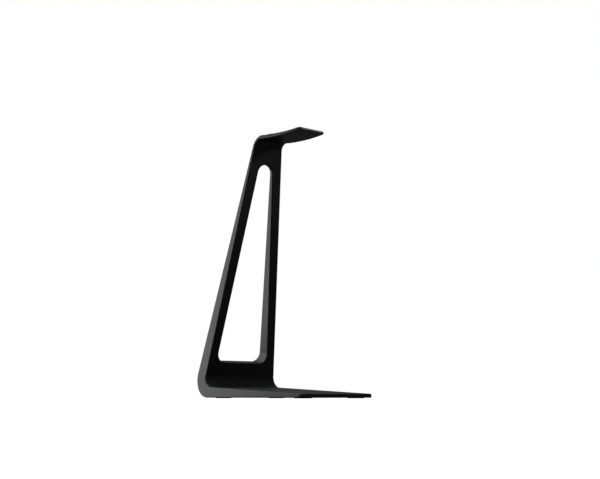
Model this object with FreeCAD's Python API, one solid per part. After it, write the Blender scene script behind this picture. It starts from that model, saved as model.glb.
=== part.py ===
import FreeCAD, Part
import os
from math import asin, atan, atan2, cos, hypot, radians, sin, sqrt, tan

# A free-standing headphone stand: a moulded C-shaped body with a tapered base, a leaning
# A-shaped upright with one long slot, and a short dished arm that a headband lies across.
# +Z is up, the front is -Y, and the origin is on the desk, below the middle of the stand.

# Overall form of the body
overall_depth = 167.3            # base tip to the back of the knee
foot_width = 93.0                # across the sides, at desk level below the upright
side_lean = radians(6.2)         # each side leans inward going up
side_toe = radians(0.5)          # each side closes inward going forward
desk_gap = 0.5                   # what the rubber feet hold the body clear of the desk
edge_round = 0.9                 # soft edge all round the body

# Base
base_tip_thickness = 3.8
base_slope = radians(2.7)        # the base's top rises towards the knee
base_corner_radius = 3.0

# Upright
front_lean = radians(11.0)       # the front face leans forward going up
foot_thickness = 16.0            # from here the upright thins steadily to the head
head_thickness = 3.3
knee_inner_radius = 10.0
knee_outer_radius = 20.5

# Slot through the upright: a tall triangle with rounded corners
slot_floor = 37.0                # along the front face, from desk level
slot_head_gap = 25.0             # what is left between the slot and the arm
leg_width = 10.1                 # width of each leg at the slot's floor
slot_corner_radius = 9.4
slot_top_radius = 9.3

# Arm, dished along its length like a shallow saddle
arm_reach = 120.3                # tip, forward of the upright's foot
arm_low_height = 261.4           # lowest line of its underside
arm_low_setback = 20.8           # that line, behind the tip
arm_dish_radius = 310.0
arm_tip_thickness = 2.6
arm_root_thickness = 4.0
arm_corner_radius = 3.0
head_inner_radius = 8.8
head_outer_radius = 12.7

# Moulding: the body is cored out from behind and from below, between ribs
wall = 2.2
least_core_depth = 1.5
rib_thickness = 1.6
leg_bays = 6                     # spaces between the cross ribs of each leg
cover_ledge = 0.9                # what each cover rests on all round
cover_clearance = 0.15

# Rear cover, let in flush and held by pins
rear_cover_thickness = 1.6
rear_cover_margin = 1.5          # lip of the body left outside it
rear_cover_knee_gap = 1.5        # its pocket, above the end of the knee's curve
rear_cover_head_gap = 16.0       # its pocket, below the arm
rear_cover_corner = 3.0
pinned_bays = (0, 2, 5)
pin_radius = 1.0
pin_length = 2.4
pin_boss_radius = 2.2
pin_clearance = 0.1

# Base cover, let in flush and held by four screws
base_cover_thickness = 1.6
base_cover_margin = 2.0
base_cover_rear_corner = 6.0
screw_spread = 60.0
screw_foot_gap = 2.25            # cover left between the rear feet and the rear screws
screw_row_gap = 46.0
screw_length = 5.0
screw_radius = 1.25
screw_head_radius = 2.35
screw_head_height = 1.1
screw_boss_radius = 3.2
screw_clearance = 0.15
drive_radius = 0.75
drive_depth = 0.7

# Steel weight, lying on the base cover at the back of the base
weight_length = 50.0
weight_thickness = 3.0
weight_corner = 3.0
weight_clearance = 0.3

# Rubber feet, let into the base cover
foot_radius = 8.0
foot_seat = 0.6
foot_bevel = 0.3
foot_clearance = 0.1
foot_front_land = 0.85           # cover left in front of the front feet
foot_rear_land = 1.5             # cover left behind the rear feet
foot_side_land = 2.35            # cover left beside each foot

# Soft pad let into the top of the arm
pad_tip_inset = 5.0
pad_bend_gap = 2.0
pad_side_inset = 3.0
pad_corner = 4.0
pad_depth = 0.7
pad_rise = 1.0
pad_bevel = 0.6
pad_clearance = 0.1


def vec(y, z, x=0.0):
    """A point from its place front to back, its height, and its place across."""
    return FreeCAD.Vector(x, y, z)


def rounded_wire(corners, radii, place):
    """Closed outline through flat corner points, each corner turned by an arc of its radius."""
    count = len(corners)
    starts = []
    middles = []
    ends = []
    for i in range(count):
        here = corners[i]
        before = corners[i - 1]
        after = corners[(i + 1) % count]
        back = hypot(before[0] - here[0], before[1] - here[1])
        ahead = hypot(after[0] - here[0], after[1] - here[1])
        b = ((before[0] - here[0]) / back, (before[1] - here[1]) / back)
        a = ((after[0] - here[0]) / ahead, (after[1] - here[1]) / ahead)
        half_angle = atan2(abs(a[0] * b[1] - a[1] * b[0]), a[0] * b[0] + a[1] * b[1]) / 2
        reach = radii[i] / tan(half_angle)
        depth = radii[i] / sin(half_angle) - radii[i]
        inward = hypot(a[0] + b[0], a[1] + b[1])
        starts.append(place(here[0] + b[0] * reach, here[1] + b[1] * reach))
        middles.append(place(here[0] + (a[0] + b[0]) / inward * depth,
                             here[1] + (a[1] + b[1]) / inward * depth))
        ends.append(place(here[0] + a[0] * reach, here[1] + a[1] * reach))
    edges = []
    for i in range(count):
        edges.append(Part.Arc(starts[i], middles[i], ends[i]).toShape())
        edges.append(Part.LineSegment(ends[i], starts[(i + 1) % count]).toShape())
    return Part.Wire(edges)


def slab(points):
    """A solid across more than the whole width, from a side-view outline of (y, z) points."""
    outline = [vec(y, z, -foot_width) for y, z in points]
    face = Part.Face(Part.makePolygon(outline + outline[:1]))
    return face.extrude(FreeCAD.Vector(2 * foot_width, 0, 0))


def plan_prism(corners, radii, low, height):
    """An upright solid from a rounded outline of (x, y) corners."""
    wire = rounded_wire(corners, radii, lambda x, y: FreeCAD.Vector(x, y, low))
    return Part.Face(wire).extrude(FreeCAD.Vector(0, 0, height))


def upright_pin(radius, length, x, y, z):
    """A cylinder standing on a point, straight up."""
    return Part.makeCylinder(radius, length, FreeCAD.Vector(x, y, z))


def leaning_hit(foot, lean, centre, radius):
    """Where a line that rises from its foot, leaning forward, first meets a circle above it."""
    dy = foot[0] - centre[0]
    dz = foot[1] - centre[1]
    half_b = dy * sin(lean) - dz * cos(lean)
    along = half_b - sqrt(half_b ** 2 - dy ** 2 - dz ** 2 + radius ** 2)
    return foot[0] - along * sin(lean), foot[1] + along * cos(lean)


# ---------------------------------------------------------------------------
# Lines of the side view
# ---------------------------------------------------------------------------

base_front = -overall_depth / 2

# The upright's length, from desk level up its front face to the underside of the arm.
dish_from_foot = (arm_low_setback - arm_reach, arm_low_height + arm_dish_radius)
upright_length = leaning_hit((0.0, 0.0), front_lean, dish_from_foot, arm_dish_radius)[1] / cos(front_lean)
taper = atan((foot_thickness - head_thickness) / upright_length)
rear_lean = front_lean + taper

# The flat underside ends where the outer curve of the knee begins.
flat_end = overall_depth / 2 - knee_outer_radius
knee_centre_height = desk_gap + knee_outer_radius
knee_rise = knee_centre_height - foot_thickness * sin(front_lean)
upright_foot = (flat_end - foot_thickness * cos(front_lean)
                + (knee_outer_radius + knee_rise * sin(rear_lean)) / cos(rear_lean))


def on_front(along, behind):
    """(y, z) of a point along the upright's front face and behind it."""
    y = upright_foot - along * sin(front_lean) + behind * cos(front_lean)
    z = along * cos(front_lean) + behind * sin(front_lean)
    return y, z


def on_rear(along, inside):
    """(y, z) of a point along the upright's rear face and inside it."""
    y, z = on_front(0, foot_thickness)
    y += -along * sin(rear_lean) - inside * cos(rear_lean)
    z += along * cos(rear_lean) - inside * sin(rear_lean)
    return y, z


def base_top(y):
    """Height of the base's top face."""
    return desk_gap + base_tip_thickness + (y - base_front) * tan(base_slope)


arm_tip = upright_foot - arm_reach
dish_low = upright_foot + dish_from_foot[0]
dish_high = dish_from_foot[1]


def dish(y):
    """Height of the arm's underside."""
    return dish_high - sqrt(arm_dish_radius ** 2 - (y - dish_low) ** 2)


inner_head = on_front(upright_length, 0)
arm_middle = (arm_tip + inner_head[0]) / 2

# The arm's top is one arc, set by its thickness at the tip, the middle and the root.
middle_thickness = (arm_tip_thickness + arm_root_thickness) / 2
top_arc = Part.Arc(vec(arm_tip, dish(arm_tip) + arm_tip_thickness),
                   vec(arm_middle, dish(arm_middle) + middle_thickness),
                   vec(inner_head[0], inner_head[1] + arm_root_thickness))
top_circle = top_arc.toShape().Curve


def arm_top(y, rise=0.0):
    """Height of the arm's top face, or of a face that runs level above it."""
    radius = top_circle.Radius - rise
    return top_circle.Center.z - sqrt(radius ** 2 - (y - top_circle.Center.y) ** 2)


rear_foot = on_rear(0, 0)
outer_head = leaning_hit(rear_foot, rear_lean, (top_circle.Center.y, top_circle.Center.z), top_circle.Radius)
outer_knee = (rear_foot[0] + (rear_foot[1] - desk_gap) * tan(rear_lean), desk_gap)
inner_knee_height = base_top(upright_foot) / (1 + tan(front_lean) * tan(base_slope))
inner_knee = (upright_foot - inner_knee_height * tan(front_lean), inner_knee_height)

# The rear cover's pocket lies on the straight part of the rear face.
knee_curve_end = (knee_centre_height + knee_outer_radius * sin(rear_lean) - rear_foot[1]) / cos(rear_lean)
rear_cover_low = knee_curve_end + rear_cover_knee_gap
rear_cover_high = upright_length - rear_cover_head_gap


# ---------------------------------------------------------------------------
# The two side faces
# ---------------------------------------------------------------------------

def half_width(y, z, inset=0.0):
    """Half the body's width at a point of its side view, less an inset from the side."""
    slant = sqrt(1 + tan(side_lean) ** 2 + tan(side_toe) ** 2)
    return foot_width / 2 - z * tan(side_lean) - (upright_foot - y) * tan(side_toe) - inset * slant


def trim_sides(shape, inset=0.0):
    """Cut a shape back to the two side faces, or to faces set in from them."""
    low = -foot_thickness
    high = arm_low_height + 2 * foot_thickness
    corners = [(-overall_depth, low), (overall_depth, low), (overall_depth, high), (-overall_depth, high)]
    outline = [vec(y, z, half_width(y, z, inset)) for y, z in corners]
    block = Part.Face(Part.makePolygon(outline + outline[:1])).extrude(FreeCAD.Vector(2 * foot_width, 0, 0))
    other = block.mirror(FreeCAD.Vector(0, 0, 0), FreeCAD.Vector(1, 0, 0))
    return shape.cut(block).cut(other)


# ---------------------------------------------------------------------------
# The slot, drawn on the front face
# ---------------------------------------------------------------------------

slot_floor_half = half_width(*on_front(slot_floor, 0)) - leg_width
slot_top = upright_length - slot_head_gap
slot_top_centre = slot_top - slot_top_radius
slot_diagonal = hypot(slot_floor_half, slot_top_centre - slot_floor)
slot_side_angle = atan2(slot_floor_half, slot_top_centre - slot_floor) - asin(slot_top_radius / slot_diagonal)


def slot_half(along):
    """Half the slot's width at a place along the upright."""
    return slot_floor_half - (along - slot_floor) * tan(slot_side_angle)


def slot_prism(grow=0.0):
    """The slot as a solid square to the front face, or the same grown all round."""
    apex = slot_floor + slot_floor_half / tan(slot_side_angle)
    corners = [(-slot_floor_half, slot_floor), (slot_floor_half, slot_floor), (0.0, apex)]
    radii = [slot_corner_radius, slot_corner_radius, slot_top_radius]

    def place(x, along):
        y, z = on_front(along, -foot_thickness)
        return vec(y, z, x)

    wire = rounded_wire(corners, radii, place)
    if grow > 0:
        wire = wire.makeOffset2D(grow)
    through = vec(cos(front_lean), sin(front_lean)) * 3 * foot_thickness
    return Part.Face(wire).extrude(through)


# ---------------------------------------------------------------------------
# The body's outside
# ---------------------------------------------------------------------------

sharp_turn = radians(25)
touching = 1e-4


def sharp_edges(shape):
    """Edges where two faces meet at a real corner."""
    found = []
    for edge in shape.Edges:
        faces = shape.ancestorsOfType(edge, Part.Face)
        if len(faces) != 2:
            continue
        middle = edge.valueAt((edge.FirstParameter + edge.LastParameter) / 2)
        normals = []
        for face in faces:
            u, v = face.Surface.parameter(middle)
            normals.append(face.normalAt(u, v))
        if normals[0].getAngle(normals[1]) > sharp_turn:
            found.append(edge)
    return found


def edges_through(shape, y, z):
    """Edges that run straight across the width at a point of the side view."""
    found = []
    for edge in shape.Edges:
        spots = [edge.valueAt(edge.FirstParameter), edge.valueAt(edge.LastParameter)]
        if all(hypot(spot.y - y, spot.z - z) < touching for spot in spots):
            found.append(edge)
    return found


def round_tip_corners(shape, y, low, high, radius):
    """Round the two upright corners at the tip of the base or the arm."""
    found = []
    for edge in shape.Edges:
        spots = [edge.valueAt(edge.FirstParameter), edge.valueAt(edge.LastParameter)]
        heights = sorted(spot.z for spot in spots)
        at_tip = all(abs(spot.y - y) < touching for spot in spots)
        if at_tip and abs(heights[0] - low) < touching and abs(heights[1] - high) < touching:
            found.append(edge)
    return shape.makeFillet(radius, found)


def body_blank():
    """The C-shaped wedge before the slot and the edge rounds."""
    tip_low = vec(base_front, desk_gap)
    tip_high = vec(base_front, desk_gap + base_tip_thickness)
    arm_tip_low = vec(arm_tip, dish(arm_tip))
    arm_tip_high = vec(arm_tip, arm_top(arm_tip))
    under = Part.Arc(vec(*inner_head), vec(arm_middle, dish(arm_middle)), arm_tip_low)
    over = Part.Arc(arm_tip_high, vec(arm_middle, arm_top(arm_middle)), vec(*outer_head))
    edges = [
        Part.LineSegment(tip_low, tip_high),
        Part.LineSegment(tip_high, vec(*inner_knee)),
        Part.LineSegment(vec(*inner_knee), vec(*inner_head)),
        under,
        Part.LineSegment(arm_tip_low, arm_tip_high),
        over,
        Part.LineSegment(vec(*outer_head), vec(*outer_knee)),
        Part.LineSegment(vec(*outer_knee), tip_low),
    ]
    profile = Part.Face(Part.Wire([edge.toShape() for edge in edges]))
    profile.translate(FreeCAD.Vector(-foot_width, 0, 0))
    blank = profile.extrude(FreeCAD.Vector(2 * foot_width, 0, 0))
    bends = [
        (inner_knee, knee_inner_radius),
        (outer_knee, knee_outer_radius),
        (inner_head, head_inner_radius),
        (outer_head, head_outer_radius),
    ]
    for corner, radius in bends:
        blank = blank.makeFillet(radius, edges_through(blank, *corner))
    return trim_sides(blank)


# ---------------------------------------------------------------------------
# Rear cover and the cored legs behind it
# ---------------------------------------------------------------------------

core_low = rear_cover_low + rear_cover_margin + cover_ledge
core_high = (foot_thickness - wall - rear_cover_thickness - least_core_depth) / tan(taper)
leg_bay = (core_high - slot_floor) / leg_bays
rear_inward = vec(-cos(rear_lean), -sin(rear_lean))


def rear_plate(margin):
    """A flat plate let in under the rear face, its outline set in by a margin."""
    low = rear_cover_low + margin
    high = rear_cover_high - margin
    low_half = half_width(*on_rear(low, 0), margin)
    high_half = half_width(*on_rear(high, 0), margin)
    corners = [(-low_half, low), (low_half, low), (high_half, high), (-high_half, high)]

    def place(x, along):
        y, z = on_rear(along, 0)
        return vec(y, z, x)

    outline = Part.Face(rounded_wire(corners, [rear_cover_corner] * 4, place))
    return outline.extrude(rear_inward * rear_cover_thickness).cut(slot_prism(margin))


def pin_places():
    """Where the rear cover's pins stand, in the middle of each leg: (across, along)."""
    places = []
    for bay in pinned_bays:
        along = slot_floor + (bay + 0.5) * leg_bay
        across = (half_width(*on_rear(along, 0)) + slot_half(along)) / 2
        places.append((across, along))
        places.append((-across, along))
    return places


def rear_post(place, radius, start, length):
    """A round post square to the rear face, from a depth inside it."""
    y, z = on_rear(place[1], start)
    return Part.makeCylinder(radius, length, vec(y, z, place[0]), rear_inward)


def upright_core():
    """The space cored out of the legs and below the slot, between its cross ribs."""
    deep = 2 * foot_thickness
    core = slab([on_front(core_low, wall), on_front(core_high, wall),
                 on_front(core_high, deep), on_front(core_low, deep)])
    core = trim_sides(core, rear_cover_margin + cover_ledge)
    core = core.cut(slot_prism(rear_cover_margin + cover_ledge))
    for rib in range(1, leg_bays):
        middle = slot_floor + rib * leg_bay
        low = middle - rib_thickness / 2
        high = middle + rib_thickness / 2
        core = core.cut(slab([on_front(low, 0), on_front(high, 0),
                              on_front(high, deep), on_front(low, deep)]))
    for place in pin_places():
        core = core.cut(rear_post(place, pin_boss_radius, 0, foot_thickness))
    return core


# ---------------------------------------------------------------------------
# Base cover, weight, feet and screws, and the cored base above them
# ---------------------------------------------------------------------------

base_core_inset = base_cover_margin + cover_ledge
base_core_floor = desk_gap + base_cover_thickness
base_core_rear = flat_end - base_core_inset
base_core_front = base_front + (least_core_depth + wall + base_cover_thickness
                                - base_tip_thickness) / tan(base_slope)
weight_rear = base_core_rear - weight_clearance
weight_front = weight_rear - weight_length
weight_half = (half_width(weight_front, base_core_floor + weight_thickness, base_core_inset)
               - weight_clearance)

# The feet stand near the corners of the base cover, and the rear screws just ahead of them.
foot_edge_gap = base_cover_margin + cover_clearance + foot_radius
front_feet = base_front + foot_edge_gap + foot_front_land
rear_feet = flat_end - foot_edge_gap - foot_rear_land
rear_screws = rear_feet - foot_radius - screw_foot_gap - screw_head_radius
screw_rows = (rear_screws - screw_row_gap, rear_screws)


def base_plate(margin):
    """The base cover's outline as a plate, set in from the body's lower edges."""
    front = base_front + margin
    rear = flat_end - margin
    front_half = half_width(front, desk_gap, margin)
    rear_half = half_width(rear, desk_gap, margin)
    corners = [(-front_half, front), (front_half, front), (rear_half, rear), (-rear_half, rear)]
    front_corner = base_corner_radius - margin
    radii = [front_corner, front_corner, base_cover_rear_corner, base_cover_rear_corner]
    return plan_prism(corners, radii, desk_gap, base_cover_thickness)


def weight_block(grow=0.0):
    """The steel weight's plain outline, or the seat that it lies in."""
    front = weight_front - grow
    rear = weight_rear + grow
    half = weight_half + grow
    corners = [(-half, front), (half, front), (half, rear), (-half, rear)]
    return plan_prism(corners, [weight_corner] * 4, base_core_floor, weight_thickness + grow)


def screw_places():
    """Where the base screws stand: (x, y)."""
    return [(side * screw_spread / 2, y) for y in screw_rows for side in (-1, 1)]


def screw_solid(x, y, grow=0.0):
    """A countersunk screw, head down in the base cover, or the hole it passes through."""
    head = Part.makeCone(screw_head_radius + grow, screw_radius + grow, screw_head_height,
                         FreeCAD.Vector(x, y, desk_gap))
    shank = upright_pin(screw_radius + grow, screw_length, x, y, desk_gap)
    return head.fuse(shank)


def foot_places():
    """Name and centre of each rubber foot; left is the stand's own left, +X."""
    places = {}
    for name, y in (("foot_front", front_feet), ("foot_rear", rear_feet)):
        x = half_width(y, desk_gap) - foot_edge_gap - foot_side_land
        places[name + "_left"] = (x, y)
        places[name + "_right"] = (-x, y)
    return places


def base_core():
    """The space cored out of the base, between its ribs, with the weight's seat."""
    core = trim_sides(slab([
        (base_core_front, desk_gap),
        (base_core_rear, desk_gap),
        (base_core_rear, base_top(base_core_rear) - wall),
        (base_core_front, base_top(base_core_front) - wall),
    ]), base_core_inset)
    length = base_core_rear - base_core_front
    height = base_top(base_core_rear)
    for x in (-screw_spread / 2, 0.0, screw_spread / 2):
        corner = FreeCAD.Vector(x - rib_thickness / 2, base_core_front, 0)
        core = core.cut(Part.makeBox(rib_thickness, length, height, corner))
    for y in (screw_rows[0], sum(screw_rows) / 2, screw_rows[1]):
        corner = FreeCAD.Vector(-foot_width / 2, y - rib_thickness / 2, 0)
        core = core.cut(Part.makeBox(foot_width, rib_thickness, height, corner))
    core = core.fuse(weight_block(weight_clearance))
    for x, y in screw_places():
        core = core.cut(upright_pin(screw_boss_radius, height, x, y, base_core_floor))
    return core


# ---------------------------------------------------------------------------
# Pad on the arm
# ---------------------------------------------------------------------------

def pad_block(grow, low, high):
    """The pad's outline, between two faces that run level with the arm's top."""
    front = arm_tip + pad_tip_inset - grow
    rear = outer_head[0] - head_outer_radius - pad_bend_gap + grow
    middle = (front + rear) / 2
    lower = Part.Arc(vec(front, arm_top(front, low)), vec(middle, arm_top(middle, low)),
                     vec(rear, arm_top(rear, low)))
    upper = Part.Arc(vec(front, arm_top(front, high)), vec(middle, arm_top(middle, high)),
                     vec(rear, arm_top(rear, high)))
    sides = [
        lower,
        Part.LineSegment(lower.EndPoint, upper.EndPoint),
        upper,
        Part.LineSegment(upper.StartPoint, lower.StartPoint),
    ]
    band = Part.Face(Part.Wire([side.toShape() for side in sides]))
    band.translate(FreeCAD.Vector(-foot_width, 0, 0))
    band = band.extrude(FreeCAD.Vector(2 * foot_width, 0, 0))
    front_half = half_width(front, arm_low_height, pad_side_inset - grow)
    rear_half = half_width(rear, arm_low_height, pad_side_inset - grow)
    corners = [(-front_half, front), (front_half, front), (rear_half, rear), (-rear_half, rear)]
    outline = plan_prism(corners, [pad_corner + grow] * 4, arm_low_height, 2 * foot_thickness)
    return band.common(outline)


# ---------------------------------------------------------------------------
# The pieces
# ---------------------------------------------------------------------------

def make_frame_shell():
    body = body_blank()
    body = round_tip_corners(body, base_front, desk_gap, base_top(base_front), base_corner_radius)
    body = round_tip_corners(body, arm_tip, dish(arm_tip), arm_top(arm_tip), arm_corner_radius)
    body = body.cut(slot_prism())
    body = body.makeFillet(edge_round, sharp_edges(body))
    body = body.cut(rear_plate(rear_cover_margin))
    body = body.cut(upright_core())
    body = body.cut(base_plate(base_cover_margin))
    body = body.cut(base_core())
    body = body.cut(pad_block(pad_clearance, -pad_depth, pad_rise + foot_thickness))
    pin_hole_depth = rear_cover_thickness + pin_length + pin_clearance
    for place in pin_places():
        body = body.cut(rear_post(place, pin_radius + pin_clearance, 0, pin_hole_depth))
    for x, y in screw_places():
        body = body.cut(upright_pin(screw_radius, screw_length + screw_clearance, x, y, desk_gap))
    return body


def make_rear_cover():
    cover = rear_plate(rear_cover_margin + cover_clearance)
    rooted = rear_cover_thickness / 2
    for place in pin_places():
        cover = cover.fuse(rear_post(place, pin_radius, rooted, rooted + pin_length))
    return cover.removeSplitter()


def make_base_cover():
    cover = base_plate(base_cover_margin + cover_clearance)
    for x, y in screw_places():
        cover = cover.cut(screw_solid(x, y, screw_clearance))
    for x, y in foot_places().values():
        cover = cover.cut(upright_pin(foot_radius + foot_clearance, foot_seat, x, y, desk_gap))
    return cover


def make_base_weight():
    weight = weight_block()
    for x, y in screw_places():
        boss = upright_pin(screw_boss_radius + weight_clearance, weight_thickness, x, y, base_core_floor)
        weight = weight.cut(boss)
    return weight


def make_base_screws():
    screws = []
    for x, y in screw_places():
        drive = upright_pin(drive_radius, drive_depth, x, y, desk_gap)
        screws.append(screw_solid(x, y).cut(drive).removeSplitter())
    return Part.makeCompound(screws)


def make_saddle_pad():
    pad = pad_block(0.0, -pad_depth, pad_rise)
    top = []
    for edge in sharp_edges(pad):
        middle = edge.valueAt((edge.FirstParameter + edge.LastParameter) / 2)
        if middle.z > arm_top(middle.y):
            top.append(edge)
    return pad.makeChamfer(pad_bevel, top)


def make_foot(x, y):
    foot = upright_pin(foot_radius, desk_gap + foot_seat, x, y, 0)
    rim = [edge for edge in foot.Edges if edge.valueAt(edge.FirstParameter).z < touching
           and edge.valueAt(edge.LastParameter).z < touching]
    return foot.makeChamfer(foot_bevel, rim)


pieces = {
    "frame_shell": make_frame_shell(),
    "rear_cover": make_rear_cover(),
    "base_cover": make_base_cover(),
    "base_weight": make_base_weight(),
    "base_screws": make_base_screws(),
    "saddle_pad": make_saddle_pad(),
}
for name, (x, y) in foot_places().items():
    pieces[name] = make_foot(x, y)

os.makedirs("parts", exist_ok=True)
for name, shape in pieces.items():
    shape.exportStep("parts/" + name + ".step")
    print(name, "solids", len(shape.Solids), "valid", shape.isValid(), "volume", round(shape.Volume, 1))
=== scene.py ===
from math import asin, cos, pi, radians, sin

import bpy
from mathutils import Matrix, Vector


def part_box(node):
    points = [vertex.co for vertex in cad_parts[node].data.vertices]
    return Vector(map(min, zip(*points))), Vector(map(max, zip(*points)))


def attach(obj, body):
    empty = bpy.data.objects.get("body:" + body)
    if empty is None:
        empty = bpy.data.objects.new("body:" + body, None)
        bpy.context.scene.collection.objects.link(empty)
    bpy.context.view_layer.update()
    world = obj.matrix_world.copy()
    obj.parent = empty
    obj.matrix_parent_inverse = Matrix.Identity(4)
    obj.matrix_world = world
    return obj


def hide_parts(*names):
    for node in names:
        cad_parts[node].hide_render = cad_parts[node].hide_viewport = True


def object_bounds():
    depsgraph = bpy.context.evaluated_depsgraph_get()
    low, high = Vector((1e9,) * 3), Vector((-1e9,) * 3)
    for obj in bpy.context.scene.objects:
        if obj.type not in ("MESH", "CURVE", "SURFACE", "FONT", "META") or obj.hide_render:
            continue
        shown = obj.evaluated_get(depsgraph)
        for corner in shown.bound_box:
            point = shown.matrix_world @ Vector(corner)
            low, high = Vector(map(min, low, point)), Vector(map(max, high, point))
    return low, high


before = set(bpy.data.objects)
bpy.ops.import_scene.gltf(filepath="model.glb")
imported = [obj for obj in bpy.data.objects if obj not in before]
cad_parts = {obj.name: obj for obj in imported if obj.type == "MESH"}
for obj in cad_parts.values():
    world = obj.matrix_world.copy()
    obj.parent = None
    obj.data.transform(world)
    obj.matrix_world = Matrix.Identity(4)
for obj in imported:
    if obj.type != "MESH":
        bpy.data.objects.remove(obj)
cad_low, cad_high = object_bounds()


# ---------------------------------------------------------------------------
# Body. One hollow moulding in black ABS makes the base, the upright and the arm.
# It leaves the mould with a fine even grain and a satin sheen, and the arm is a
# little smoother on top, where headbands slide on and off.
# ---------------------------------------------------------------------------

mm = 0.001
body_dark = (0.012, 0.0125, 0.0135, 1)
body_light = (0.020, 0.021, 0.0225, 1)
grain_unevenness = 0.10       # how much the roughness varies with the grain
sheen_unevenness = 0.06       # how much it varies from patch to patch
sheen_patch = 30 * mm
rub_below_top = 12 * mm       # the rubbed part of the arm starts this far below its top
rub_fade = 8 * mm
rub_gloss = 0.08


class Value:
    """A shader socket that sums and products can be written with."""

    def __init__(self, shading, socket):
        self.shading = shading
        self.socket = socket

    def math(self, operation, first, second):
        return self.shading.node("ShaderNodeMath", {"operation": operation}, {0: first, 1: second})

    def __add__(self, other):
        return self.math("ADD", self, other)

    def __radd__(self, other):
        return self.math("ADD", other, self)

    def __sub__(self, other):
        return self.math("SUBTRACT", self, other)

    def __rsub__(self, other):
        return self.math("SUBTRACT", other, self)

    def __mul__(self, other):
        return self.math("MULTIPLY", self, other)

    def __rmul__(self, other):
        return self.math("MULTIPLY", other, self)

    def __truediv__(self, other):
        return self.math("DIVIDE", self, other)

    def __rtruediv__(self, other):
        return self.math("DIVIDE", other, self)

    def clamped(self):
        return self.math("MINIMUM", self.math("MAXIMUM", self, 0.0), 1.0)


class Shading:
    """A node tree that a finish is built in."""

    def __init__(self, tree):
        self.tree = tree

    def node(self, kind, settings, inputs, output=0):
        """Add a node: its settings first, then the values or links of its sockets."""
        made = self.tree.nodes.new(kind)
        for name, value in settings.items():
            setattr(made, name, value)
        for socket, value in inputs.items():
            if isinstance(value, Value):
                self.tree.links.new(value.socket, made.inputs[socket])
            else:
                made.inputs[socket].default_value = value
        return Value(self, made.outputs[output])

    def place(self):
        """Where a point of the piece is, in metres."""
        return self.node("ShaderNodeTexCoord", {}, {}, "Object")

    def height(self, place):
        """How high a place is, or how far a direction points up."""
        return self.node("ShaderNodeSeparateXYZ", {}, {"Vector": place}, "Z")

    def upward(self):
        """How far the surface faces up: 1 where it lies level, 0 on walls and undersides."""
        normal = self.node("ShaderNodeNewGeometry", {}, {}, "Normal")
        return self.height(normal).clamped()

    def cloud(self, place, feature, detail=2.0):
        """Soft noise between 0 and 1, with features about this many metres across."""
        return self.node("ShaderNodeTexNoise", {}, {"Vector": place, "Scale": 1 / feature, "Detail": detail})

    def blend(self, share, first, second):
        """A colour between two others."""
        return self.node("ShaderNodeMix", {"data_type": "RGBA"}, {0: share, 6: first, 7: second}, 2)

    def bump(self, relief, depth):
        """Surface relief of a depth in metres."""
        return self.node("ShaderNodeBump", {}, {"Height": relief, "Distance": depth}, "Normal")


class Finish(Shading):
    """A material built onto its Principled shader, with what is even all over set on it."""

    sockets = {
        "colour": "Base Color",
        "metallic": "Metallic",
        "roughness": "Roughness",
        "normal": "Normal",
        "specular": "Specular IOR Level",
    }

    def __init__(self, name, **even):
        self.material = bpy.data.materials.new(name)
        self.material.use_nodes = True
        super().__init__(self.material.node_tree)
        self.shader = self.tree.nodes["Principled BSDF"]
        for socket, value in even.items():
            self.shader.inputs[self.sockets[socket]].default_value = value

    def feed(self, **varying):
        """Link what changes over the surface to the shader."""
        for socket, value in varying.items():
            self.tree.links.new(value.socket, self.shader.inputs[self.sockets[socket]])


def grained(name, dark, light, roughness, grain, depth, rubbed_from=None, **even):
    """A moulded surface: a fine grain over faint, slow changes of sheen."""
    finish = Finish(name, **even)
    place = finish.place()
    texture = finish.cloud(place, grain, detail=3.0)
    sheen = finish.cloud(place, sheen_patch)
    dullness = roughness + grain_unevenness * (texture - 0.5) + sheen_unevenness * (sheen - 0.5)
    if rubbed_from is not None:
        rubbed = ((finish.height(place) - rubbed_from) / rub_fade).clamped() * finish.upward()
        dullness = dullness - rub_gloss * rubbed * (0.5 + sheen)
    finish.feed(
        colour=finish.blend(texture, dark, light),
        roughness=dullness,
        normal=finish.bump(texture, depth),
    )
    return finish


def paint(piece, finish):
    """Give a piece one finish all over."""
    piece.data.materials.clear()
    piece.data.materials.append(finish.material)


body_finish = grained(
    "satin_body", body_dark, body_light, roughness=0.42, grain=0.4 * mm, depth=0.022 * mm,
    rubbed_from=cad_high.z - rub_below_top)
paint(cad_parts["frame_shell"], body_finish)


# ---------------------------------------------------------------------------
# Weight. A plain rolled steel plate lies in the rear half of the base, under the
# upright, so that a heavy headset on the arm can't tip the stand. It is as rolled.
# ---------------------------------------------------------------------------

steel_dark = (0.30, 0.30, 0.31, 1)
steel_light = (0.46, 0.46, 0.47, 1)
steel_roughness = 0.34        # at its smoothest
steel_unevenness = 0.22
streak_length = 20 * mm
streak_slimness = 30          # how many times longer than wide a streak is
streak_depth = 0.02 * mm

steel = Finish("rolled_steel", metallic=1.0)
along_rolling = steel.node(
    "ShaderNodeMapping", {}, {"Vector": steel.place(), "Scale": (1, streak_slimness, 1)})
streaks = steel.cloud(along_rolling, streak_length, detail=4.0)
steel.feed(
    colour=steel.blend(streaks, steel_dark, steel_light),
    roughness=steel_roughness + steel_unevenness * streaks,
    normal=steel.bump(streaks, streak_depth),
)
paint(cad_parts["base_weight"], steel)


# ---------------------------------------------------------------------------
# Base cover. A flat black lid lies flush in the underside and closes the cored
# base. It has a coarser spark texture than the body, and seats for screws and feet.
# ---------------------------------------------------------------------------

cover_dark = (0.014, 0.0145, 0.016, 1)
cover_light = (0.023, 0.024, 0.026, 1)

cover_finish = grained(
    "textured_cover", cover_dark, cover_light, roughness=0.52, grain=0.6 * mm, depth=0.03 * mm)
paint(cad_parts["base_cover"], cover_finish)


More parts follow.
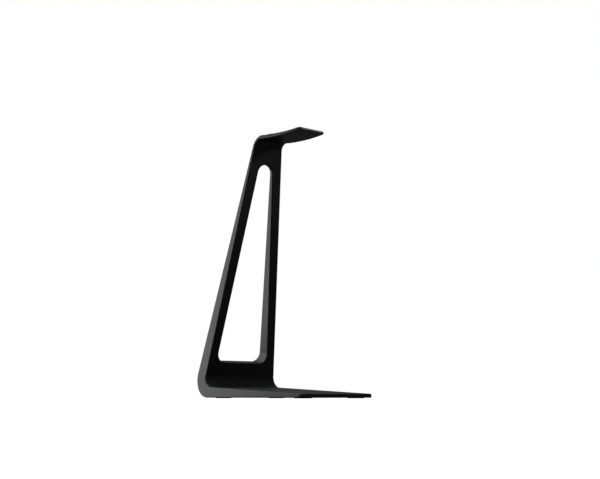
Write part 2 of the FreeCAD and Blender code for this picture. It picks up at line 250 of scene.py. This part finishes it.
# ---------------------------------------------------------------------------
# Base screws. Four countersunk steel screws with cross recesses, zinc plated, hold
# the base cover. Their threads cut into the bosses of the body.
# ---------------------------------------------------------------------------

screw_head_radius = 2.35 * mm
screw_head_height = 1.1 * mm
screw_head_rim = 0.12 * mm
screw_core_radius = 0.95 * mm
screw_crest_radius = 1.24 * mm
screw_pitch = 0.8 * mm
screw_turns = 4
screw_point = 0.5 * mm
screw_point_share = 0.45      # of the core's width, at the point's end
recess_span = 2.7 * mm
recess_width = 0.55 * mm
recess_depth = 0.7 * mm
recess_taper = 0.6
screw_sides = 40
ridge_sunk = 0.1 * mm         # how far the thread's root lies inside the core
ridge_rise = 0.3              # of the pitch, from the thread's foot to its crest
ridge_steps = 28              # to a turn
touch = 0.01 * mm             # points this close to a height lie on it
merge_within = 0.001 * mm     # points this close together become one
level = 0.999                 # a face lies level when its normal has this much of up or down
smooth_below = radians(30)    # edges that turn less than this are shaded smooth
zinc_dark = (0.42, 0.43, 0.45, 1)
zinc_light = (0.56, 0.56, 0.56, 1)
zinc_roughness = 0.28         # at its smoothest
zinc_unevenness = 0.2
zinc_patch = 1.2 * mm
zinc_grain = 0.15 * mm
zinc_relief = 0.004 * mm


def clear_selection():
    """Leave nothing selected, so that an operator acts only on what follows."""
    bpy.ops.object.select_all(action="DESELECT")


def take(piece):
    """Select one piece alone and make it active."""
    clear_selection()
    piece.select_set(True)
    bpy.context.view_layer.objects.active = piece


def pick(piece, kind, wanted):
    """In edit mode, select the points, edges or faces that a test of their place finds."""
    bpy.ops.object.mode_set(mode="EDIT")
    bpy.ops.mesh.select_mode(type=kind)
    bpy.ops.mesh.select_all(action="DESELECT")
    bpy.ops.object.mode_set(mode="OBJECT")
    mesh = piece.data
    if kind == "FACE":
        for face in mesh.polygons:
            face.select = wanted(face.center, face.normal)
    elif kind == "EDGE":
        for edge in mesh.edges:
            first, second = (mesh.vertices[point].co for point in edge.vertices)
            edge.select = wanted(first, second)
    else:
        for point in mesh.vertices:
            point.select = wanted(point.co)
    bpy.ops.object.mode_set(mode="EDIT")


def pick_all(kind="FACE"):
    """In edit mode, select the whole mesh."""
    bpy.ops.object.mode_set(mode="EDIT")
    bpy.ops.mesh.select_mode(type=kind)
    bpy.ops.mesh.select_all(action="SELECT")


def extrude(x, y, z):
    """Draw out what is selected."""
    bpy.ops.mesh.extrude_region_move(TRANSFORM_OT_translate={"value": (x, y, z)})


def apply_modifier(piece, kind, **settings):
    """Put a modifier on a piece and apply it at once."""
    bpy.ops.object.mode_set(mode="OBJECT")
    take(piece)
    modifier = piece.modifiers.new(kind.lower(), kind)
    for name, value in settings.items():
        setattr(modifier, name, value)
    bpy.ops.object.modifier_apply(modifier=modifier.name)


def combine(piece, tool, operation):
    """Cut a tool out of a piece, or join it on, and remove the tool."""
    apply_modifier(piece, "BOOLEAN", operation=operation, solver="EXACT", object=tool)
    bpy.data.objects.remove(tool)


def rename(piece, name):
    """Give a piece and its mesh their name."""
    piece.name = name
    piece.data.name = name


def settle(piece, name):
    """Put a finished piece's place into its mesh, close it, name it and shade it."""
    bpy.ops.object.mode_set(mode="OBJECT")
    take(piece)
    bpy.ops.object.transform_apply(location=True, rotation=True, scale=True)
    pick_all()
    bpy.ops.mesh.remove_doubles(threshold=merge_within)
    bpy.ops.mesh.normals_make_consistent(inside=False)
    bpy.ops.object.mode_set(mode="OBJECT")
    bpy.ops.object.shade_smooth_by_angle(angle=smooth_below)
    rename(piece, name)


def copy_of(piece, name, shift):
    """A copy of a finished piece with its own mesh, moved in edit mode."""
    take(piece)
    bpy.ops.object.duplicate(linked=False)
    twin = bpy.context.object
    pick_all()
    bpy.ops.transform.translate(value=shift)
    bpy.ops.object.mode_set(mode="OBJECT")
    rename(twin, name)
    return twin


screws_low, screws_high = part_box("base_screws")
screw_foot = screws_low.z
screw_length = screws_high.z - screw_foot
screw_right = screws_low.x + screw_head_radius
screw_front = screws_low.y + screw_head_radius
to_left = screws_high.x - screw_head_radius - screw_right
to_rear = screws_high.y - screw_head_radius - screw_front

# The countersunk head is a cone. The core of the shank and its point are drawn out of it.
clear_selection()
bpy.ops.mesh.primitive_cone_add(
    vertices=screw_sides, radius1=screw_head_radius, radius2=screw_core_radius,
    depth=screw_head_height, location=(screw_right, screw_front, screw_foot + screw_head_height / 2))
screw = bpy.context.object
bpy.ops.object.transform_apply(location=True)
pick(screw, "FACE", lambda place, normal: normal.z > level)
extrude(0, 0, screw_length - screw_head_height - screw_point)
extrude(0, 0, screw_point)
bpy.ops.transform.resize(
    value=(screw_point_share, screw_point_share, 1), center_override=(screw_right, screw_front, 0))
pick(screw, "EDGE", lambda first, second: max(first.z, second.z) < screw_foot + touch)
bpy.ops.mesh.bevel(offset=screw_head_rim, segments=3, affect="EDGES")

# The thread is a three-sided ridge: its outline is drawn out of one point, then wound up.
ridge_root = screw_core_radius - ridge_sunk
bpy.ops.object.mode_set(mode="OBJECT")
clear_selection()
bpy.ops.mesh.primitive_plane_add(size=screw_pitch, location=(0, 0, 0))
ridge = bpy.context.object
pick_all("VERT")
bpy.ops.mesh.merge(type="CENTER")
bpy.ops.transform.translate(value=(ridge_root, 0, 0))
extrude(screw_crest_radius - ridge_root, 0, ridge_rise * screw_pitch)
extrude(ridge_root - screw_crest_radius, 0, ridge_rise * screw_pitch)
pick_all("VERT")
bpy.ops.mesh.edge_face_add()
bpy.ops.mesh.delete(type="ONLY_FACE")
apply_modifier(
    ridge, "SCREW", axis="Z", angle=2 * pi, screw_offset=screw_pitch, iterations=screw_turns,
    steps=ridge_steps, render_steps=ridge_steps, use_merge_vertices=True)
pick_all("EDGE")
bpy.ops.mesh.select_all(action="DESELECT")
bpy.ops.mesh.select_non_manifold()
bpy.ops.mesh.edge_face_add()
pick_all()
bpy.ops.mesh.normals_make_consistent(inside=False)
bpy.ops.transform.translate(value=(screw_right, screw_front, screw_foot + screw_head_height))
combine(screw, ridge, "UNION")

# The cross recess is cut by two narrow bars that taper upwards.
for turn in (radians(45), radians(135)):
    clear_selection()
    bpy.ops.mesh.primitive_cube_add(
        size=1, location=(screw_right, screw_front, screw_foot), rotation=(0, 0, turn),
        scale=(recess_span, recess_width, 2 * recess_depth))
    bar = bpy.context.object
    pick(bar, "FACE", lambda place, normal: normal.z > level)
    bpy.ops.transform.resize(
        value=(recess_taper, recess_taper, 1), center_override=(screw_right, screw_front, 0))
    combine(screw, bar, "DIFFERENCE")

settle(screw, "base_screw_front_right")
screws = [
    screw,
    copy_of(screw, "base_screw_front_left", (to_left, 0, 0)),
    copy_of(screw, "base_screw_rear_right", (0, to_rear, 0)),
    copy_of(screw, "base_screw_rear_left", (to_left, to_rear, 0)),
]

zinc = Finish("zinc_plating", metallic=1.0)
zinc_place = zinc.place()
zinc_patches = zinc.cloud(zinc_place, zinc_patch, detail=3.0)
zinc.feed(
    colour=zinc.blend(zinc_patches, zinc_dark, zinc_light),
    roughness=zinc_roughness + zinc_unevenness * zinc_patches,
    normal=zinc.bump(zinc.cloud(zinc_place, zinc_grain), zinc_relief),
)

for piece in screws:
    paint(piece, zinc)
    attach(piece, "root")
    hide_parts("base_screws")


# ---------------------------------------------------------------------------
# Feet. Four moulded rubber discs are pressed into seats in the base cover. Each has
# a rounded rim and a shallow hollow underneath, so it grips the desk with its ring.
# ---------------------------------------------------------------------------

foot_rim_round = 0.3 * mm
foot_ring_width = 1.6 * mm
foot_hollow_wall = 0.3 * mm
foot_hollow_depth = 0.2 * mm
foot_top_round = 0.15 * mm
foot_sides = 72
foot_dark = (0.012, 0.012, 0.0125, 1)
foot_light = (0.024, 0.024, 0.025, 1)

foot_names = ("foot_front_right", "foot_front_left", "foot_rear_right", "foot_rear_left")
foot_low, foot_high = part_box(foot_names[0])

clear_selection()
bpy.ops.mesh.primitive_cylinder_add(
    vertices=foot_sides, radius=(foot_high.x - foot_low.x) / 2, depth=foot_high.z - foot_low.z,
    location=(foot_low + foot_high) / 2)
foot = bpy.context.object
bpy.ops.object.transform_apply(location=True)
pick(foot, "EDGE", lambda first, second: max(first.z, second.z) < foot_low.z + touch)
bpy.ops.mesh.bevel(offset=foot_rim_round, segments=4, affect="EDGES")
pick(foot, "FACE", lambda place, normal: normal.z < -level)
bpy.ops.mesh.inset(thickness=foot_ring_width, depth=0)
bpy.ops.mesh.inset(thickness=foot_hollow_wall, depth=-foot_hollow_depth)
pick(foot, "EDGE", lambda first, second: min(first.z, second.z) > foot_high.z - touch)
bpy.ops.mesh.bevel(offset=foot_top_round, segments=2, affect="EDGES")
settle(foot, foot_names[0] + "_rubber")

feet = [foot]
for name in foot_names[1:]:
    other_low, other_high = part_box(name)
    feet.append(copy_of(foot, name + "_rubber", other_low - foot_low))

foot_rubber = grained(
    "foot_rubber", foot_dark, foot_light, roughness=0.78, grain=0.25 * mm, depth=0.015 * mm,
    specular=0.35)

for name, piece in zip(foot_names, feet):
    paint(piece, foot_rubber)
    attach(piece, "root")
    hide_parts(name)


# ---------------------------------------------------------------------------
# Rear cover. A flat lid in the base cover's textured black lies flush in the back of
# the upright, round the slot. Its pins press into the legs.
# ---------------------------------------------------------------------------

paint(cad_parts["rear_cover"], cover_finish)


# ---------------------------------------------------------------------------
# Saddle pad. A strip of soft black rubber is glued into a shallow pocket along the
# dished top of the arm. Its rim is rounded, and fine grooves across it grip the headband.
# ---------------------------------------------------------------------------

pad_front_half = 14.08 * mm
pad_rear_half = 14.53 * mm
pad_corner = 4.0 * mm
pad_thickness = 1.7 * mm
pad_rim_round = 0.6 * mm
pad_border = 2.6 * mm         # the smooth edge round the grooves
pad_curve = 311.7 * mm        # its underside is bent to this radius, as its pocket is
curve_lowest = -32.9 * mm     # the lowest place of that curve, along the arm
groove_pitch = 2.6 * mm
groove_width = 0.9 * mm
groove_depth = 0.3 * mm
groove_wall = 0.2 * mm
pad_dark = (0.014, 0.014, 0.015, 1)
pad_light = (0.025, 0.025, 0.027, 1)

pad_low, pad_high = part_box("saddle_pad")
pad_base = pad_low.z


def along_curve(y):
    """Where a place on the bent pad lies while the pad is still flat."""
    return curve_lowest + pad_curve * asin((y - curve_lowest) / pad_curve)


flat_front = along_curve(pad_low.y)
flat_rear = along_curve(pad_high.y)
flat_length = flat_rear - flat_front
flat_middle = (flat_front + flat_rear) / 2

# The flat pad: a plane narrowed to the front, with round corners, drawn up to its height.
clear_selection()
bpy.ops.mesh.primitive_plane_add(size=1, location=(0, flat_middle, pad_base))
pad = bpy.context.object
pad.scale = (2 * pad_rear_half, flat_length, 1)
bpy.ops.object.transform_apply(location=True, scale=True)
pick(pad, "VERT", lambda place: place.y < flat_middle)
bpy.ops.transform.resize(
    value=(pad_front_half / pad_rear_half, 1, 1), center_override=(0, flat_front, pad_base))
pick_all("VERT")
bpy.ops.mesh.bevel(offset=pad_corner, segments=8, affect="VERTICES")
pick_all()
extrude(0, 0, pad_thickness)
pick_all()
bpy.ops.mesh.normals_make_consistent(inside=False)
pick(pad, "EDGE", lambda first, second: min(first.z, second.z) > pad_base + pad_thickness - touch)
bpy.ops.mesh.bevel(offset=pad_rim_round, segments=4, affect="EDGES")

# The grooves: the whole pad is cut across at their edges, and their floors are let in.
pick(pad, "FACE", lambda place, normal: normal.z > level)
bpy.ops.mesh.inset(thickness=pad_border - pad_rim_round, depth=0)
groove_count = int((flat_length - 2 * pad_border - 2 * pad_corner) / groove_pitch)
first_groove = flat_middle - (groove_count - 1) * groove_pitch / 2
grooves = [first_groove + count * groove_pitch for count in range(groove_count)]
for groove in grooves:
    for edge in (-groove_width / 2, groove_width / 2):
        pick_all()
        bpy.ops.mesh.bisect(plane_co=(0, groove + edge, 0), plane_no=(0, 1, 0))


def in_groove(place, normal):
    """Tell the top faces between the two cuts of a groove, inside the smooth edge."""
    inside = normal.z > level and abs(place.x) < pad_front_half - pad_border
    return inside and any(abs(place.y - groove) < groove_width / 4 for groove in grooves)


pick(pad, "FACE", in_groove)
bpy.ops.mesh.inset(thickness=groove_wall, depth=-groove_depth, use_individual=True)

# The pad is bent to the dish of the arm, about a helper at the lowest place of the curve.
bpy.ops.object.mode_set(mode="OBJECT")
bpy.ops.object.empty_add(
    location=(0, curve_lowest, pad_base), rotation=(radians(90), 0, radians(90)))
bend_helper = bpy.context.object
apply_modifier(
    pad, "SIMPLE_DEFORM", deform_method="BEND", deform_axis="Z", angle=flat_length / pad_curve,
    origin=bend_helper)
bpy.data.objects.remove(bend_helper)
settle(pad, "grip_pad")

pad_rubber = grained(
    "pad_rubber", pad_dark, pad_light, roughness=0.68, grain=0.3 * mm, depth=0.02 * mm, specular=0.4)
paint(pad, pad_rubber)
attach(pad, "root")
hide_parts("saddle_pad")


# ---------------------------------------------------------------------------
# Desk and light. The stand is on a plain pale desk before a white backdrop. A soft light
# comes from above, soft boxes behind it on its right give its side a sheen, and ahead of
# it a weak soft box lights its head evenly and a narrow beam picks out the arm's tip.
# ---------------------------------------------------------------------------

white = (1, 1, 1, 1)
desk_pale = (0.85, 0.85, 0.85, 1)
desk_dull = (0.03, 0.03, 0.03, 1)   # the desk's colour for the light it throws back
desk_size = 12.0
desk_glow = 0.42
fill_level = 0.06             # the room's light on the stand, where the backdrop itself is 1
reflected_share = 0.03        # of the backdrop's white, in what gloss and clear pieces show
overhead_power = 2.5
overhead_softness = radians(45)
head_spread = radians(12)
tip_spread = radians(5)

stand_foot = Vector((cad_low.x, cad_high.y - 14 * mm, 0))
stand_middle = (cad_low + cad_high) / 2
arm_tip = Vector((0, cad_low.y + 36 * mm, cad_high.z - 3 * mm))
above_tip = arm_tip + Vector((0, 0, 0.03))
ahead_of_tip = arm_tip + Vector((0.36, -0.45, 0.22))
above_middle = stand_middle + Vector((-0.35, 0.2, 1))
side_height = Vector((0, 0, 0.26))
low_height = Vector((0, 0, 0.05))
behind_right = Vector((-0.25, 0.485, 0))
behind_right_low = Vector((-0.25, 0.48, 0))


def backdrop_share(shading):
    """How much of the white backdrop a ray meets: all for the eye, a little for gloss."""
    seen = shading.node("ShaderNodeLightPath", {}, {}, "Is Camera Ray")
    glossy = shading.node("ShaderNodeLightPath", {}, {}, "Is Glossy Ray")
    clear = shading.node("ShaderNodeLightPath", {}, {}, "Is Transmission Ray")
    return (seen + reflected_share * (glossy + clear)).clamped()


def light(name, kind, place, target, power):
    """A light at a place, turned to face a target and hidden from the camera."""
    turn = (target - place).to_track_quat("-Z", "Y").to_euler()
    bpy.ops.object.light_add(type=kind, location=place, rotation=turn)
    made = bpy.context.object
    made.name = name
    made.data.energy = power
    made.visible_camera = False
    return made


def soft_box(name, place, target, width, height, power, spread=pi):
    """A flat soft light of a size."""
    made = light(name, "AREA", place, target, power)
    made.data.shape = "RECTANGLE"
    made.data.size = width
    made.data.size_y = height
    made.data.spread = spread


clear_selection()
bpy.ops.mesh.primitive_plane_add(size=desk_size, location=(0, 0, cad_low.z))
desk = bpy.context.object
rename(desk, "desk")

desk_finish = Finish("pale_desk")
dull = desk_finish.node("ShaderNodeBsdfDiffuse", {}, {"Color": desk_dull})
pale = desk_finish.node("ShaderNodeBsdfDiffuse", {}, {"Color": desk_pale})
glow = desk_finish.node("ShaderNodeEmission", {}, {"Color": white, "Strength": desk_glow})
bright = desk_finish.node("ShaderNodeAddShader", {}, {0: pale, 1: glow})
desk_surface = desk_finish.node(
    "ShaderNodeMixShader", {}, {0: backdrop_share(desk_finish), 1: dull, 2: bright})
desk_output = desk_finish.tree.nodes["Material Output"]
desk_finish.tree.links.new(desk_surface.socket, desk_output.inputs["Surface"])
paint(desk, desk_finish)

studio = bpy.data.worlds.new("studio")
bpy.context.scene.world = studio
studio.use_nodes = True
backdrop = Shading(studio.node_tree)
room = backdrop.tree.nodes["Background"]
room.inputs["Color"].default_value = white
room_level = fill_level + (1 - fill_level) * backdrop_share(backdrop)
backdrop.tree.links.new(room_level.socket, room.inputs["Strength"])

overhead = light("overhead_light", "SUN", above_middle, stand_middle, overhead_power)
overhead.data.angle = overhead_softness
soft_box(
    "side_box", stand_foot + behind_right + side_height, stand_foot + side_height,
    width=0.30, height=0.50, power=1.13)
soft_box(
    "low_box", stand_foot + behind_right_low + low_height, stand_foot + low_height,
    width=0.30, height=0.09, power=0.10)
soft_box(
    "head_light", ahead_of_tip, above_tip,
    width=0.24, height=0.24, power=0.0088, spread=head_spread)
soft_box(
    "tip_light", ahead_of_tip, arm_tip,
    width=0.04, height=0.04, power=0.0010, spread=tip_spread)


# ---------------------------------------------------------------------------
# Camera. It stands low on the desk, ahead of the stand and to its right, and looks
# up a little, past the stand's left side.
# ---------------------------------------------------------------------------

camera_bearing = radians(38.615)
camera_distance = 1.0401
camera_height = 2 * mm
camera_turn = radians(-39.622)
camera_tilt = radians(98.59)
camera_lens = 62.25           # this and the sensor's width are in millimetres
camera_sensor = 36
camera_near = 5 * mm

bpy.ops.object.camera_add(
    location=(
        -camera_distance * sin(camera_bearing), -camera_distance * cos(camera_bearing), camera_height),
    rotation=(camera_tilt, 0, camera_turn))
camera = bpy.context.object
camera.data.lens = camera_lens
camera.data.sensor_width = camera_sensor
camera.data.clip_start = camera_near
bpy.context.scene.camera = camera
bpy.context.scene.view_settings.view_transform = "Standard"
